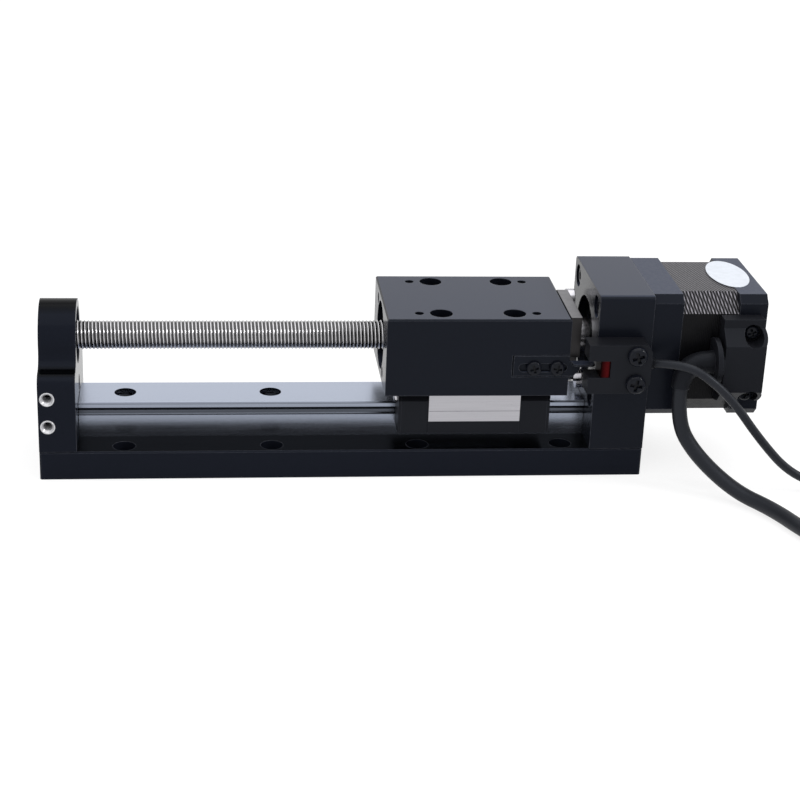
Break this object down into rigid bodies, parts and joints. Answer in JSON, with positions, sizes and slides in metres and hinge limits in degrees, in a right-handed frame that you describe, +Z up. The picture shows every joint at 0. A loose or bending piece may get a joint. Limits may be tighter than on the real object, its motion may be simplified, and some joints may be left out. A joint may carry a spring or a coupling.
{
  "type": "ball screw linear actuator",
  "caption": "Short-stroke linear actuator: a carriage on a guide rail is driven along a base plate by a ball screw and a square stepper motor, with a home sensor.",
  "frame": {"origin": "centre of the underside of the base plate", "axes": "+X along the screw towards the motor, +Z up from the base plate, +Y to the side away from the sensor and cables"},
  "size_m": [0.2637, 0.1174, 0.0526],
  "materials": {
    "black_anodised": "satin anodised",
    "screw_steel": "bright ground",
    "rail_steel": "ground",
    "guide_steel": "fine ground",
    "bearing_steel": "polished",
    "flange_steel": "turned",
    "screw_black": "black oxide",
    "screw_bright": "bright plated",
    "stack_steel": "laminated",
    "copper": "enamelled wire",
    "magnet": "sintered",
    "black_plastic": "moulded",
    "sensor_plastic": "moulded",
    "red_lens": "translucent",
    "label_white": "satin",
    "cable_black": "satin",
    "plug_white": "moulded"
  },
  "bodies": {
    "frame": {"base_plate": "black_anodised", "linear_rail": "rail_steel", "rail_screws": "screw_black", "free_end_block": "black_anodised", "thread_inserts": "screw_bright", "end_stops": "screw_bright", "end_block_screws": "screw_black", "mount_screws": "screw_black", "motor_mount": "black_anodised", "bearing_retainer": "screw_black", "free_bearing_outer": "bearing_steel", "fixed_bearing_outers": "bearing_steel", "motor_bearing_outers": "bearing_steel", "motor_front_cap": "black_anodised", "motor_rear_cap": "black_anodised", "motor_stator": "stack_steel", "motor_windings": "copper", "motor_mounting_screws": "screw_black", "motor_tie_screws": "screw_black", "cable_cover": "black_plastic", "cover_screws": "screw_black", "cable_gland": "cable_black", "blank_label": "label_white", "photo_sensor": "sensor_plastic", "sensor_window": "red_lens", "sensor_cable_gland": "cable_black", "sensor_screws": "screw_black", "motor_cable": "cable_black", "motor_cable_coil": "cable_black", "motor_connector": "plug_white", "sensor_cable": "cable_black", "sensor_cable_coil": "cable_black", "sensor_connector": "plug_white"},
    "screw": {"ball_screw": "screw_steel", "screw_collar": "screw_steel", "shaft_clip": "screw_black", "lock_nut": "screw_black", "free_bearing_inner": "bearing_steel", "fixed_bearing_inners": "bearing_steel", "motor_bearing_inners": "bearing_steel", "rotor_shaft": "bearing_steel", "rotor_cups": "stack_steel", "rotor_magnet": "magnet"},
    "ball_cages": {"bearing_ball_cages": "bearing_steel"},
    "carriage": {"carriage_block": "black_anodised", "carriage_screws": "screw_black", "guide_block": "guide_steel", "guide_strips": "black_plastic", "guide_end_caps": "black_plastic", "guide_end_seals": "cable_black", "guide_cap_screws": "screw_bright", "guide_balls": "bearing_steel", "ball_nut": "flange_steel", "nut_wipers": "black_plastic", "flange_screws": "screw_bright", "sensor_flag": "black_anodised", "flag_screws": "screw_black"}
  },
  "joints": [
    {"name": "carriage_slide", "type": "slide", "parent": "frame", "child": "carriage", "axis": [1, 0, 0], "range_m": [-0.08, 0.00025]},
    {"name": "screw_spin", "type": "hinge", "parent": "frame", "child": "screw", "pos_m": [0, 0, 0.035], "axis": [1, 0, 0], "range_deg": [-100, 29000]},
    {"name": "cages_orbit", "type": "hinge", "parent": "frame", "child": "ball_cages", "pos_m": [0, 0, 0.035], "axis": [1, 0, 0], "range_deg": [-39, 11310]}
  ],
  "couplings": [
    {"joint": "screw_spin", "follows": "carriage_slide", "rad_per_m": -6283.2},
    {"joint": "cages_orbit", "follows": "carriage_slide", "rad_per_m": -2450.4}
  ]
}
